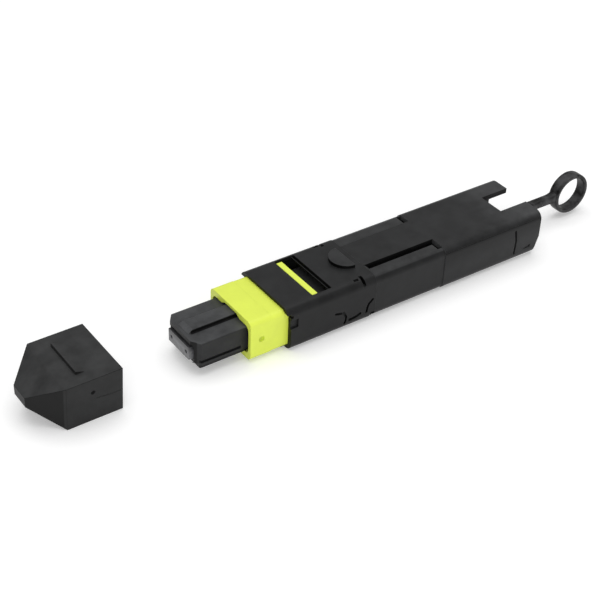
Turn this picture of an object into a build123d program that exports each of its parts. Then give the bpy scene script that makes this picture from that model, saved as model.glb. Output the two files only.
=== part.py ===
"""A fibre loopback module with a push-on multi-fibre plug, a pull ring and its dust cap lying in front.

Frame: the origin is the centre of the ferrule's end face, +X is the way the plug points, +Y is the
near side in the photo and +Z is up. Sizes are in millimetres. A GAP is a clearance between two
pieces, a WALL is a thickness, and a REACH is how far a cut goes on past the surface that it opens.
"""

import math
import os

from build123d import *

os.makedirs("parts", exist_ok=True)

# Clearances that several pieces share.
RUN_GAP = 0.05
SEAT_GAP = 0.02
LOOSE_GAP = 0.1
REACH = 10.0

# Ferrule: the standard 6.4 by 2.5 mm block with two guide bores and a wider shoulder at its rear.
FERRULE_WIDTH = 6.4
FERRULE_HEIGHT = 2.5
FERRULE_LENGTH = 8.0
FERRULE_EDGE = 0.15
SHOULDER_SPREAD = 0.3
SHOULDER_RISE = 0.25
SHOULDER_LENGTH = 2.0
GUIDE_PITCH = 4.6
GUIDE_RADIUS = 0.35
FERRULE_HALF_WIDTH = FERRULE_WIDTH / 2
FERRULE_HALF_HEIGHT = FERRULE_HEIGHT / 2
SHOULDER_HALF_WIDTH = FERRULE_HALF_WIDTH + SHOULDER_SPREAD
SHOULDER_HALF_HEIGHT = FERRULE_HALF_HEIGHT + SHOULDER_RISE
SHOULDER_FRONT = SHOULDER_LENGTH - FERRULE_LENGTH

# Fibres: one for each pair of ferrule channels, side by side in the boot.
FIBRE_RADIUS = 0.12
FIBRE_GAP = 0.01
FIBRE_COUNT = 6
LOOP_GAP = 0.05
FLARE_STEPS = 5
ARC_STEPS = 7
FIBRE_PITCH = 2 * FIBRE_RADIUS + FIBRE_GAP
LOOP_PITCH = FIBRE_PITCH + LOOP_GAP
FIBRE_SPREAD = (FIBRE_COUNT - 0.5) * FIBRE_PITCH + FIBRE_RADIUS
FIBRE_SIDE_GAP = 0.105

# Boot in the ferrule's rear, and the spacer that the spring presses on.
BOOT_DEPTH = 2.0
BOOT_TAIL = 1.6
BOOT_HALF_HEIGHT = 0.5
BOOT_GAP = 0.01
BOOT_HALF_WIDTH = FIBRE_SPREAD + FIBRE_SIDE_GAP
BOOT_FRONT = BOOT_DEPTH - FERRULE_LENGTH
BOOT_REAR = -FERRULE_LENGTH - BOOT_TAIL
SPACER_LENGTH = 2.38
SPACER_SPREAD = 0.1
WINDOW_GAP = 0.3
SPACER_FRONT = -FERRULE_LENGTH - SEAT_GAP
SPACER_REAR = SPACER_FRONT - SPACER_LENGTH

# Plug housing around the ferrule, with a hood in front and a key on top.
FERRULE_WIRE_RADIUS = 0.15
FERRULE_SPRING_TURNS = 6
FERRULE_SPRING_RADIUS = FIBRE_SPREAD + FIBRE_SIDE_GAP + FERRULE_WIRE_RADIUS
CHAMBER_SPREAD = 0.4
CHAMBER_START = 1.2
CHAMBER_WALL = 0.6
CHAMBER_SIDE_WALL = 1.21
CHAMBER_EDGE = 0.4
CHAMBER_FRONT = -FERRULE_LENGTH - CHAMBER_START
CHAMBER_HALF_WIDTH = FERRULE_HALF_WIDTH + CHAMBER_SPREAD
CHAMBER_HALF_HEIGHT = FERRULE_SPRING_RADIUS + FERRULE_WIRE_RADIUS + RUN_GAP
NOSE_HALF_WIDTH = CHAMBER_HALF_WIDTH + CHAMBER_SIDE_WALL
NOSE_HALF_HEIGHT = CHAMBER_HALF_HEIGHT + CHAMBER_WALL
NOSE_FRONT = -0.3
NOSE_LENGTH = 22.7
NOSE_LIP_LENGTH = 0.9
NOSE_EDGE = 0.3
NOSE_CHAMFER_LENGTH = 1.2
NOSE_CHAMFER_WIDTH = 1.6
NOSE_REAR = NOSE_FRONT - NOSE_LENGTH
NOSE_LIP_FRONT = NOSE_FRONT - NOSE_LIP_LENGTH
NOSE_ROOF = 0.8
NOSE_MOUTH_DEPTH = 2.3
MOUTH_HALF_WIDTH = CHAMBER_HALF_WIDTH + LOOSE_GAP
MOUTH_HALF_HEIGHT = NOSE_HALF_HEIGHT - NOSE_ROOF
KEY_HALF_WIDTH = 1.5
KEY_HEIGHT = 0.6
KEY_START = 0.6
KEY_RAMP = 0.9
KEY_EDGE = 0.15
KEY_ROOT = 0.55
KEY_FRONT = NOSE_FRONT - KEY_START
KEY_TOP = NOSE_HALF_HEIGHT + KEY_HEIGHT
GROOVE_LOW = 1.05
GROOVE_WIDTH = 0.6
GROOVE_LENGTH = 8.7
GROOVE_DEPTH = 0.45
EAR_FRONT = -21.5
EAR_LENGTH = 1.0
EAR_HALF_HEIGHT = 0.5
EAR_ROOT = 0.5
EAR_SIDE_GAP = 0.16
EAR_TOP_GAP = 0.12
GROOVE_AHEAD = 6.5
EAR_REAR = EAR_FRONT - EAR_LENGTH

# Springs.
COUPLING_SPRING_RADIUS = 0.4
COUPLING_WIRE_RADIUS = 0.08
COUPLING_SPRING_TURNS = 9
COUPLING_SPRING_GAP = 0.04
COUPLING_SPRING_REACH = COUPLING_SPRING_RADIUS + COUPLING_WIRE_RADIUS
COUPLING_SPRING_SIDE = NOSE_HALF_WIDTH + COUPLING_SPRING_GAP + COUPLING_SPRING_REACH

# Coupling sleeve that slides over the plug housing.
RELEASE_TRAVEL = 2.0
SLEEVE_FRONT = -10.0
SLEEVE_LENGTH = 15.2
SLEEVE_STEP = 0.09
SLEEVE_STEP_LENGTH = 4.1
SLEEVE_CORNER = 1.0
SLEEVE_SIDE_WALL = 0.34
SLEEVE_ROOF = 0.54
SLEEVE_SIDE_GAP = 0.69
SLEEVE_TOP_GAP = 0.23
SPRING_GROOVE_HALF_WIDTH = COUPLING_SPRING_SIDE + COUPLING_SPRING_REACH + RUN_GAP
SPRING_GROOVE_HALF_HEIGHT = EAR_HALF_HEIGHT + EAR_TOP_GAP
SPRING_GROOVE_FRONT = EAR_FRONT + GROOVE_AHEAD
EAR_HALF_WIDTH = SPRING_GROOVE_HALF_WIDTH - EAR_SIDE_GAP
SLEEVE_HALF_WIDTH = SPRING_GROOVE_HALF_WIDTH + SLEEVE_SIDE_WALL
SLEEVE_BORE_HALF_WIDTH = NOSE_HALF_WIDTH + SLEEVE_SIDE_GAP
SLEEVE_BORE_HALF_HEIGHT = NOSE_HALF_HEIGHT + SLEEVE_TOP_GAP
SLEEVE_STEP_X = SLEEVE_FRONT - SLEEVE_STEP_LENGTH
SLEEVE_REAR = SLEEVE_FRONT - SLEEVE_LENGTH
KEYWAY_GAP = 0.2
KEYWAY_SIDE_GAP = 0.25
KEYWAY_SLOPE = 0.95
KEYWAY_TOP = KEY_TOP + KEYWAY_GAP
KEYWAY_TOP_HALF_WIDTH = KEY_HALF_WIDTH + KEYWAY_SIDE_GAP
KEYWAY_FOOT_HALF_WIDTH = KEYWAY_TOP_HALF_WIDTH + KEYWAY_SLOPE
SLEEVE_HALF_HEIGHT = KEYWAY_TOP + SLEEVE_ROOF
SLEEVE_REAR_HALF_HEIGHT = SLEEVE_HALF_HEIGHT - SLEEVE_STEP
DIMPLE_INSET = 2.2
DIMPLE_RADIUS = 0.55
DIMPLE_DEPTH = 0.35
RIB_INSET = 1.4
RIB_LENGTH = 1.1
RIB_EDGE = 0.25
RIB_ROOT = 0.5
RIB_SINK = 0.05
RIB_REAR = SLEEVE_REAR + RIB_INSET
RIB_FRONT = RIB_REAR + RIB_LENGTH
TONGUE_NECK_HALF_WIDTH = 2.0
TONGUE_HEAD_HALF_WIDTH = 3.0
TONGUE_HEAD_LENGTH = 1.0
TONGUE_REACH = 2.6
TONGUE_HEAD_FRONT = SLEEVE_REAR + TONGUE_REACH
TONGUE_NECK_FRONT = TONGUE_HEAD_FRONT - TONGUE_HEAD_LENGTH

# Body: one rounded section for the front cover and the rear shell, a recessed one between them.
BODY_CORNER = 1.6
COVER_FRONT = -16.7
COVER_LENGTH = 18.4
COVER_SIDE_WALL = 0.92
COVER_FLOOR = 0.38
COVER_ROOF = 0.55
COVER_SIDE_GAP = 0.08
COVER_TOP_GAP = 0.1
COVER_FLOOR_GAP = 0.12
COVER_REAR = COVER_FRONT - COVER_LENGTH
COVER_BORE_HALF_WIDTH = SLEEVE_HALF_WIDTH + COVER_SIDE_GAP
COVER_BORE_LOW = -SLEEVE_REAR_HALF_HEIGHT - COVER_FLOOR_GAP
COVER_BORE_HIGH = SLEEVE_REAR_HALF_HEIGHT + COVER_TOP_GAP
BODY_HALF_WIDTH = COVER_BORE_HALF_WIDTH + COVER_SIDE_WALL
BODY_LOW = COVER_BORE_LOW - COVER_FLOOR
BODY_HIGH = COVER_BORE_HIGH + COVER_ROOF
COVER_SIDE_RECESS = 0.7
COVER_TAB_RECESS = 0.4
COVER_TAB_LOW = 1.85
COVER_TAB_HEIGHT = 0.5
COVER_ROOF_OVERHANG = 1.05
COVER_FRONT_FLANK = 2.0
WELL_FRONT = 0.3
WELL_LENGTH = 1.8
WELL_LOW = 4.75
WELL_HEIGHT = 1.75
WELL_DEPTH = 0.3
WINDOW_CORNER = 0.25
WINDOW_SIDE = 1.65
WINDOW_FAR_EXTRA = 0.4
WINDOW_FRONT_GAP = 0.1
WINDOW_REAR_GAP = 0.85
WINDOW_FRONT = RIB_FRONT + WINDOW_FRONT_GAP
WINDOW_REAR = RIB_REAR - RELEASE_TRAVEL - WINDOW_REAR_GAP
WINDOW_HALF_WIDTH = BODY_HALF_WIDTH - WINDOW_SIDE
RIDGE_GAP = 0.38
RIDGE_WIDTH = 0.16
RIDGE_SINK = 0.25
PAD_INSET = 1.65
PAD_RADIUS = 2.95
PAD_HEIGHT = 0.7
PAD_REAR = COVER_REAR + PAD_INSET

# Marks in the cover's sides, as distances from its rear end and its underside.
HOOK = ((8.5, 4.15), (6.9, 3.8), (6.3, 2.8), (6.4, 1.9), (6.6, 1.5))
HOOK_WIDTH = 0.45
DASH = ((5.5, 1.85), (4.3, 1.95), (3.3, 2.25))
DASH_WIDTH = 0.6
CURVE = ((0.7, 4.3), (1.5, 3.6), (1.8, 2.9), (1.9, 2.1))
CURVE_WIDTH = 0.5
MARK_DEPTH = 0.4
SLIT_FRONT = 2.85
SLIT_LENGTH = 0.6
SLIT_FLANK = 1.9
SLIT_DROP = 1.15
PIT_FRONT = 4.2
PIT_LENGTH = 1.0
PIT_FLANK = 1.5
PIT_WIDTH = 0.5
PIT_DEPTH = 0.4
NICK_LENGTH = 1.0
NICK_FLANK = 0.95
NICK_HEIGHT = 1.6

# Middle frame between the cover and the rear shell.
FRAME_INSET = 0.12
FRAME_EDGE = 0.6
FRAME_FRONT_GAP = 0.6
COVER_TAIL_FRONT = 1.4
COVER_TAIL_GAP = 0.03
SHELL_WALL = 1.0
FRAME_FLOOR_INSET = 0.85
FRAME_ROOF_INSET = 1.05
FRAME_FLOOR = 1.15
TUNNEL_ROOF = 0.3
TUNNEL_SIDE_GAP = 0.3
FRAME_FRONT = SLEEVE_REAR - RELEASE_TRAVEL - FRAME_FRONT_GAP
COVER_BORE_REAR = FRAME_FRONT - COVER_TAIL_FRONT
COVER_TAIL_HALF_WIDTH = BODY_HALF_WIDTH - SHELL_WALL
FRAME_HALF_WIDTH = COVER_TAIL_HALF_WIDTH - RUN_GAP
FRAME_LOW = BODY_LOW + FRAME_FLOOR_INSET
FRAME_HIGH = BODY_HIGH - FRAME_ROOF_INSET
FRAME_FLOOR_TOP = FRAME_LOW + FRAME_FLOOR
TUNNEL_TOP = FRAME_FLOOR_TOP - TUNNEL_ROOF
PUSH_SIDE_GAP = 0.2
PUSH_TOP_GAP = 0.68
PUSH_FLOOR_GAP = 0.15
TRAY_SIDE_GAP = 0.25
PUSH_LENGTH = 8.8
PUSH_TAIL = 1.2
PUSH_REAR = FRAME_FRONT - PUSH_TAIL
PUSH_FRONT = PUSH_REAR + PUSH_LENGTH
PUSH_HALF_WIDTH = SLEEVE_BORE_HALF_WIDTH - PUSH_SIDE_GAP
PUSH_TOP = SLEEVE_BORE_HALF_HEIGHT - PUSH_TOP_GAP
TRAY_HALF_WIDTH = PUSH_HALF_WIDTH + TRAY_SIDE_GAP
TRAY_FRONT_TOP = PUSH_TOP + LOOSE_GAP
TRAY_DEPTH = 3.3
TRAY_TOP = FRAME_FLOOR_TOP + TRAY_DEPTH
TRAY_REAR_WALL = 0.7
POST_GAP = 1.2
POST_HEIGHT = 3.4

# Rear shell, its lid with the rail, and the bay for the pull ring's stem.
BODY_LENGTH = 56.4
SHELL_LENGTH = 22.7
SHELL_FLOOR_GAP = 0.05
LID_SEAM = 0.02
RAIL_NEAR = 3.15
RAIL_FAR = -3.65
RAIL_KEEL = 0.65
SLOT_WIDTH = 1.25
SLOT_DEPTH = 2.7
SLOT_LEG_LENGTH = 1.1
SLOT_END = 0.3
SLOT_LEG_FLANK = 1.2
BAY_LENGTH = 6.2
BAY_WALL = 0.9
BAY_HALF_WIDTH = 2.68
ARM_WALL = 0.9
ARM_STEP = 0.6
SHELL_REAR = COVER_FRONT - BODY_LENGTH
SHELL_FRONT = SHELL_REAR + SHELL_LENGTH
SHELL_FLOOR_TOP = FRAME_LOW - SHELL_FLOOR_GAP
LID_LOW = FRAME_HIGH + SHELL_FLOOR_GAP
RAIL_LOW = LID_LOW - RAIL_KEEL
SLOT_NEAR = RAIL_NEAR + SLOT_WIDTH
SLOT_FRONT = COVER_REAR - SLOT_END
SLOT_REAR = SHELL_FRONT + SLOT_LEG_LENGTH
SLOT_LOW = BODY_HIGH - FRAME_INSET - SLOT_DEPTH
SLOT_LEG_END = BODY_HALF_WIDTH - SLOT_LEG_FLANK
BAY_FRONT = SHELL_REAR + BAY_LENGTH
SHELL_CAVITY_REAR = BAY_FRONT + BAY_WALL

# Marks in the shell's sides, as distances from its rear end and its underside.
GROOVE_LINE = ((6.15, 6.7), (5.75, 4.5), (5.9, 1.8))
GROOVE_LINE_WIDTH = 0.45
GROOVE_LINE_DEPTH = 0.5
WEDGE = ((4.0, 2.0), (1.9, 2.7), (2.1, 1.95))
WEDGE_DEPTH = 0.3
TAIL_CUT = ((-0.1, 3.7), (0.0, 3.7), (0.8, 1.25), (0.8, -0.7), (-0.1, -0.7))

# Pull ring and its stem.
RING_OFFSET = 14.0
RING_Z = 0.5
RING_OUTER_RADIUS = 4.1
RING_WALL = 0.63
RING_WIDTH = 1.7
STEM_HALF_WIDTH = 0.6
STEM_HALF_HEIGHT = 0.55
STEM_EDGE = 0.2
STEM_ROOT = 0.3
STEM_HEAD_HALF_WIDTH = 1.5
STEM_HEAD_LENGTH = 0.9
STEM_PORT_GAP = 0.12
RING_X = SHELL_REAR - RING_OFFSET
RING_INNER_RADIUS = RING_OUTER_RADIUS - RING_WALL
PORT_HALF_WIDTH = STEM_HALF_WIDTH + STEM_PORT_GAP
PORT_HALF_HEIGHT = STEM_HALF_HEIGHT + STEM_PORT_GAP

# Slider under the fibre tray, which joins the pull ring to the coupling sleeve.
SLIDER_HALF_WIDTH = 4.0
SLIDER_STOP_GAP = 0.6
SLIDER_POST_LENGTH = 0.8
SLIDER_POST_SIDE = 0.5
SLIDER_POST_LIP = 0.13
TONGUE_DROP = 0.2
POST_SLOT_GAP = 0.4
FRAME_REAR_GAP = 1.4
LOOP_SIDE_GAP = 0.45
LOOP_REAR_GAP = 1.5
FLARE_START = 10.8
SLIDER_LOW = SHELL_FLOOR_TOP + LOOSE_GAP
SLIDER_HIGH = TUNNEL_TOP - LOOSE_GAP
SLIDER_REAR = SHELL_CAVITY_REAR + RELEASE_TRAVEL + SLIDER_STOP_GAP
SLIDER_POST_FRONT = SLIDER_REAR + SLIDER_POST_LENGTH
SLIDER_POST_HALF_WIDTH = STEM_HEAD_HALF_WIDTH + SLIDER_POST_SIDE
SLIDER_POST_TOP = RING_Z + PORT_HALF_HEIGHT + SLIDER_POST_LIP
STEM_HEAD_REAR = SLIDER_POST_FRONT + LOOSE_GAP
STEM_HEAD_FRONT = STEM_HEAD_REAR + STEM_HEAD_LENGTH
FRAME_REAR = SHELL_CAVITY_REAR + FRAME_REAR_GAP
LOOP_RADIUS = TRAY_HALF_WIDTH - LOOP_SIDE_GAP
LOOP_X = STEM_HEAD_FRONT + LOOP_RADIUS + LOOP_REAR_GAP
POST_RADIUS = LOOP_RADIUS - (FIBRE_COUNT - 1) * LOOP_PITCH - POST_GAP
FLARE_X = COVER_BORE_REAR - FLARE_START

# Dust cap, lying in front with its mouth towards the plug.
CAP_MOUTH = 13.1
CAP_LENGTH = 9.75
CAP_TAPER_LENGTH = 4.85
CAP_SIDE_SPREAD = 1.89
CAP_LEAN = 0.75
CAP_TOP_SINK = 0.07
CAP_TIP_HALF_WIDTH = 1.9
CAP_TIP_RISE = 4.0
CAP_TIP_HEIGHT = 1.8
CAP_SIDE = -1.28
CAP_WALL = 0.75
CAP_BORE_DRAFT = 0.5
CAP_FLOOR = 1.02
CAP_BORE_DEPTH = 10.6
CAP_GRIP_START = 5.35
CAP_GRIP_LENGTH = 1.5
CAP_GRIP_HEIGHT = 0.5
CAP_GRIP_HALF_WIDTH = 4.2
CAP_HOLE_INSET = 5.2
CAP_HOLE_DROP = 2.71
CAP_HOLE_RADIUS = 0.35
CAP_HOLE_DEPTH = 0.6
CAP_HALF_WIDTH = NOSE_HALF_WIDTH + CAP_SIDE_SPREAD
CAP_LOW = BODY_LOW
CAP_HIGH = BODY_HIGH - CAP_TOP_SINK
CAP_TIP_LOW = CAP_LOW + CAP_TIP_RISE
CAP_TIP_HIGH = CAP_TIP_LOW + CAP_TIP_HEIGHT
CAP_BORE_LOW = CAP_LOW + CAP_FLOOR
CAP_BORE_HIGH = CAP_HIGH - CAP_FLOOR


def bar(rear, front, half_width, low, high, corner=0.0):
    """A straight bar along X, with round corners in its section."""
    place = Plane.YZ.offset(rear) * Pos(0, (low + high) / 2)
    if corner > 0:
        section = place * RectangleRounded(2 * half_width, high - low, corner)
    else:
        section = place * Rectangle(2 * half_width, high - low)
    return extrude(section, amount=front - rear, dir=(1, 0, 0))


def block(rear, front, left, right, low, high):
    """A plain block between six faces."""
    size = (front - rear, right - left, high - low)
    middle = ((rear + front) / 2, (left + right) / 2, (low + high) / 2)
    return Pos(*middle) * Box(*size)


def flank(rear, front, inner, outer, side, low, high):
    """A plain block on one side, between two distances from the middle plane."""
    left, right = sorted((side * inner, side * outer))
    return block(rear, front, left, right, low, high)


def body_bar(rear, front, inset=0.0):
    """The rounded body section, inset all round."""
    return bar(
        rear,
        front,
        BODY_HALF_WIDTH - inset,
        BODY_LOW + inset,
        BODY_HIGH - inset,
        BODY_CORNER - inset,
    )


def side_groove(marks, rear, width, depth, side):
    """A groove in the body's side wall along marks, which count from a rear end and the underside."""
    path = Polyline(*[(rear + ahead, BODY_LOW + up) for ahead, up in marks])
    outline = offset(path, amount=width / 2, side=Side.BOTH)
    outline = outline if isinstance(outline, Sketch) else make_face(outline)
    flat = Plane.XZ.offset(-side * BODY_HALF_WIDTH) * outline
    return extrude(flat, amount=depth, both=True)


def helix_spring(front, rear, middle, radius, wire, turns):
    """A round-wire spring along X, as a chain of short straight lengths."""
    steps = turns * 8
    points = []
    for i in range(steps + 1):
        share = i / steps
        angle = 2 * math.pi * turns * share
        x = front - wire + (rear - front + 2 * wire) * share
        points.append((x, middle + radius * math.cos(angle), radius * math.sin(angle)))
    path = Polyline(*points)
    start = Plane(origin=points[0], z_dir=path % 0)
    section = start * RegularPolygon(wire, 4)
    return sweep(section, path=path, transition=Transition.RIGHT)


def ferrule():
    """The ferrule block with its shoulder, two guide bores and the pocket for the boot."""
    part = bar(
        -FERRULE_LENGTH,
        0,
        FERRULE_HALF_WIDTH,
        -FERRULE_HALF_HEIGHT,
        FERRULE_HALF_HEIGHT,
        FERRULE_EDGE,
    )
    part += bar(
        -FERRULE_LENGTH,
        SHOULDER_FRONT,
        SHOULDER_HALF_WIDTH,
        -SHOULDER_HALF_HEIGHT,
        SHOULDER_HALF_HEIGHT,
        SHOULDER_RISE,
    )
    for side in (-1, 1):
        bore = Plane.YZ.offset(-FERRULE_LENGTH) * Pos(side * GUIDE_PITCH / 2, 0)
        part -= extrude(bore * Circle(GUIDE_RADIUS), amount=FERRULE_LENGTH, dir=(1, 0, 0))
    part -= bar(
        -FERRULE_LENGTH, BOOT_FRONT, BOOT_HALF_WIDTH, -BOOT_HALF_HEIGHT, BOOT_HALF_HEIGHT
    )
    return part


def ferrule_boot():
    """The soft boot in the ferrule's rear that guides the twelve fibre ends."""
    half_height = BOOT_HALF_HEIGHT - BOOT_GAP
    return bar(
        BOOT_REAR,
        BOOT_FRONT,
        BOOT_HALF_WIDTH - BOOT_GAP,
        -half_height,
        half_height,
        FERRULE_EDGE,
    )


def ferrule_spacer():
    """The clamp plate behind the ferrule that passes the spring's push on."""
    part = bar(
        SPACER_REAR,
        SPACER_FRONT,
        FERRULE_HALF_WIDTH + SPACER_SPREAD,
        -SHOULDER_HALF_HEIGHT,
        SHOULDER_HALF_HEIGHT,
        SHOULDER_RISE,
    )
    part -= bar(
        SPACER_REAR,
        SPACER_FRONT,
        BOOT_HALF_WIDTH + WINDOW_GAP,
        -BOOT_HALF_HEIGHT - WINDOW_GAP,
        BOOT_HALF_HEIGHT + WINDOW_GAP,
        FERRULE_EDGE,
    )
    return part


def nose_corner(side):
    """The cut that slopes one front corner of the hood, over its full height."""
    inner = NOSE_HALF_WIDTH - NOSE_CHAMFER_WIDTH
    outer = NOSE_HALF_WIDTH + REACH
    rear = NOSE_FRONT - NOSE_CHAMFER_LENGTH
    outline = Polyline(
        (NOSE_FRONT, side * inner),
        (NOSE_FRONT + REACH, side * inner),
        (NOSE_FRONT + REACH, side * outer),
        (rear, side * outer),
        (rear, side * NOSE_HALF_WIDTH),
        (NOSE_FRONT, side * inner),
    )
    return extrude(Pos(0, 0, -REACH) * make_face(outline), amount=2 * REACH, dir=(0, 0, 1))


def plug_housing():
    """The fixed plug body: hood, key, side grooves, ferrule channel and spring chamber."""
    part = bar(
        NOSE_REAR, NOSE_FRONT, NOSE_HALF_WIDTH, -NOSE_HALF_HEIGHT, NOSE_HALF_HEIGHT, NOSE_EDGE
    )
    key = bar(
        NOSE_REAR,
        KEY_FRONT,
        KEY_HALF_WIDTH,
        NOSE_HALF_HEIGHT - KEY_ROOT,
        KEY_TOP,
        KEY_EDGE,
    )
    ramp = make_face(
        Polyline(
            (KEY_FRONT - KEY_RAMP, KEY_TOP),
            (KEY_FRONT, NOSE_HALF_HEIGHT),
            (KEY_FRONT + REACH, NOSE_HALF_HEIGHT),
            (KEY_FRONT + REACH, KEY_TOP + REACH),
            (KEY_FRONT - KEY_RAMP, KEY_TOP + REACH),
            (KEY_FRONT - KEY_RAMP, KEY_TOP),
        )
    )
    part += key - extrude(Plane.XZ * ramp, amount=KEY_HALF_WIDTH + REACH, both=True)
    groove_bottom = GROOVE_LOW - NOSE_HALF_HEIGHT
    for side in (-1, 1):
        part -= nose_corner(side)
        part -= flank(
            NOSE_FRONT - GROOVE_LENGTH,
            NOSE_FRONT + REACH,
            NOSE_HALF_WIDTH - GROOVE_DEPTH,
            NOSE_HALF_WIDTH + REACH,
            side,
            groove_bottom,
            groove_bottom + GROOVE_WIDTH,
        )
        part += flank(
            EAR_REAR,
            EAR_FRONT,
            NOSE_HALF_WIDTH - EAR_ROOT,
            EAR_HALF_WIDTH,
            side,
            -EAR_HALF_HEIGHT,
            EAR_HALF_HEIGHT,
        )
    # The bottom wall stops short of the hood.
    part -= bar(
        NOSE_LIP_FRONT, NOSE_FRONT + REACH, NOSE_HALF_WIDTH + REACH, -REACH, -MOUTH_HALF_HEIGHT
    )
    part -= bar(
        NOSE_FRONT - NOSE_MOUTH_DEPTH,
        NOSE_FRONT + REACH,
        MOUTH_HALF_WIDTH,
        -MOUTH_HALF_HEIGHT,
        MOUTH_HALF_HEIGHT,
        NOSE_EDGE,
    )
    # The front of the channel guides the ferrule, the wider rear one guides its shoulder.
    part -= bar(
        SHOULDER_FRONT,
        NOSE_FRONT,
        FERRULE_HALF_WIDTH + RUN_GAP,
        -FERRULE_HALF_HEIGHT - RUN_GAP,
        FERRULE_HALF_HEIGHT + RUN_GAP,
    )
    part -= bar(
        CHAMBER_FRONT,
        SHOULDER_FRONT + RUN_GAP,
        SHOULDER_HALF_WIDTH + RUN_GAP,
        -SHOULDER_HALF_HEIGHT - RUN_GAP,
        SHOULDER_HALF_HEIGHT + RUN_GAP,
    )
    part -= bar(
        NOSE_REAR,
        CHAMBER_FRONT,
        CHAMBER_HALF_WIDTH,
        -CHAMBER_HALF_HEIGHT,
        CHAMBER_HALF_HEIGHT,
        CHAMBER_EDGE,
    )
    return part


def coupling_sleeve():
    """The sleeve that locks the plug in its adapter, with its keyway, rib and spring grooves."""
    part = bar(
        SLEEVE_STEP_X,
        SLEEVE_FRONT,
        SLEEVE_HALF_WIDTH,
        -SLEEVE_HALF_HEIGHT,
        SLEEVE_HALF_HEIGHT,
        SLEEVE_CORNER,
    )
    part += bar(
        SLEEVE_REAR,
        SLEEVE_STEP_X,
        SLEEVE_HALF_WIDTH,
        -SLEEVE_REAR_HALF_HEIGHT,
        SLEEVE_REAR_HALF_HEIGHT,
        SLEEVE_CORNER,
    )
    # The roof ends at the rib, so that the window shows the dark inside behind it.
    roof_low = SLEEVE_BORE_HALF_HEIGHT - SLEEVE_CORNER
    part -= bar(SLEEVE_REAR, RIB_REAR, SLEEVE_HALF_WIDTH + REACH, roof_low, REACH)
    part += bar(
        RIB_REAR,
        RIB_FRONT,
        WINDOW_HALF_WIDTH - LOOSE_GAP,
        SLEEVE_REAR_HALF_HEIGHT - RIB_ROOT,
        BODY_HIGH - RIB_SINK,
        RIB_EDGE,
    )
    part -= bar(
        SLEEVE_REAR,
        SLEEVE_FRONT,
        SLEEVE_BORE_HALF_WIDTH,
        -SLEEVE_BORE_HALF_HEIGHT,
        SLEEVE_BORE_HALF_HEIGHT,
        SLEEVE_CORNER,
    )
    keyway_low = SLEEVE_BORE_HALF_HEIGHT - SEAT_GAP
    keyway = make_face(
        Polyline(
            (-KEYWAY_FOOT_HALF_WIDTH, keyway_low),
            (-KEYWAY_FOOT_HALF_WIDTH, SLEEVE_BORE_HALF_HEIGHT),
            (-KEYWAY_TOP_HALF_WIDTH, KEYWAY_TOP),
            (KEYWAY_TOP_HALF_WIDTH, KEYWAY_TOP),
            (KEYWAY_FOOT_HALF_WIDTH, SLEEVE_BORE_HALF_HEIGHT),
            (KEYWAY_FOOT_HALF_WIDTH, keyway_low),
            (-KEYWAY_FOOT_HALF_WIDTH, keyway_low),
        )
    )
    part -= extrude(Plane.YZ.offset(SLEEVE_REAR) * keyway, amount=SLEEVE_LENGTH, dir=(1, 0, 0))
    part -= bar(
        SLEEVE_REAR,
        SPRING_GROOVE_FRONT,
        SPRING_GROOVE_HALF_WIDTH,
        -SPRING_GROOVE_HALF_HEIGHT,
        SPRING_GROOVE_HALF_HEIGHT,
    )
    for side in (-1, 1):
        face = Plane.XZ.offset(-side * SLEEVE_HALF_WIDTH) * Pos(SLEEVE_FRONT - DIMPLE_INSET, 0)
        part -= extrude(face * Circle(DIMPLE_RADIUS), amount=DIMPLE_DEPTH, both=True)
    # The slot in the bottom wall holds the slider's tongue by its wider head.
    slot_top = -SLEEVE_BORE_HALF_HEIGHT + RUN_GAP
    part -= bar(SLEEVE_REAR, TONGUE_HEAD_FRONT, TONGUE_NECK_HALF_WIDTH, -REACH, slot_top)
    part -= bar(TONGUE_NECK_FRONT, TONGUE_HEAD_FRONT, TONGUE_HEAD_HALF_WIDTH, -REACH, slot_top)
    return part


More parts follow.
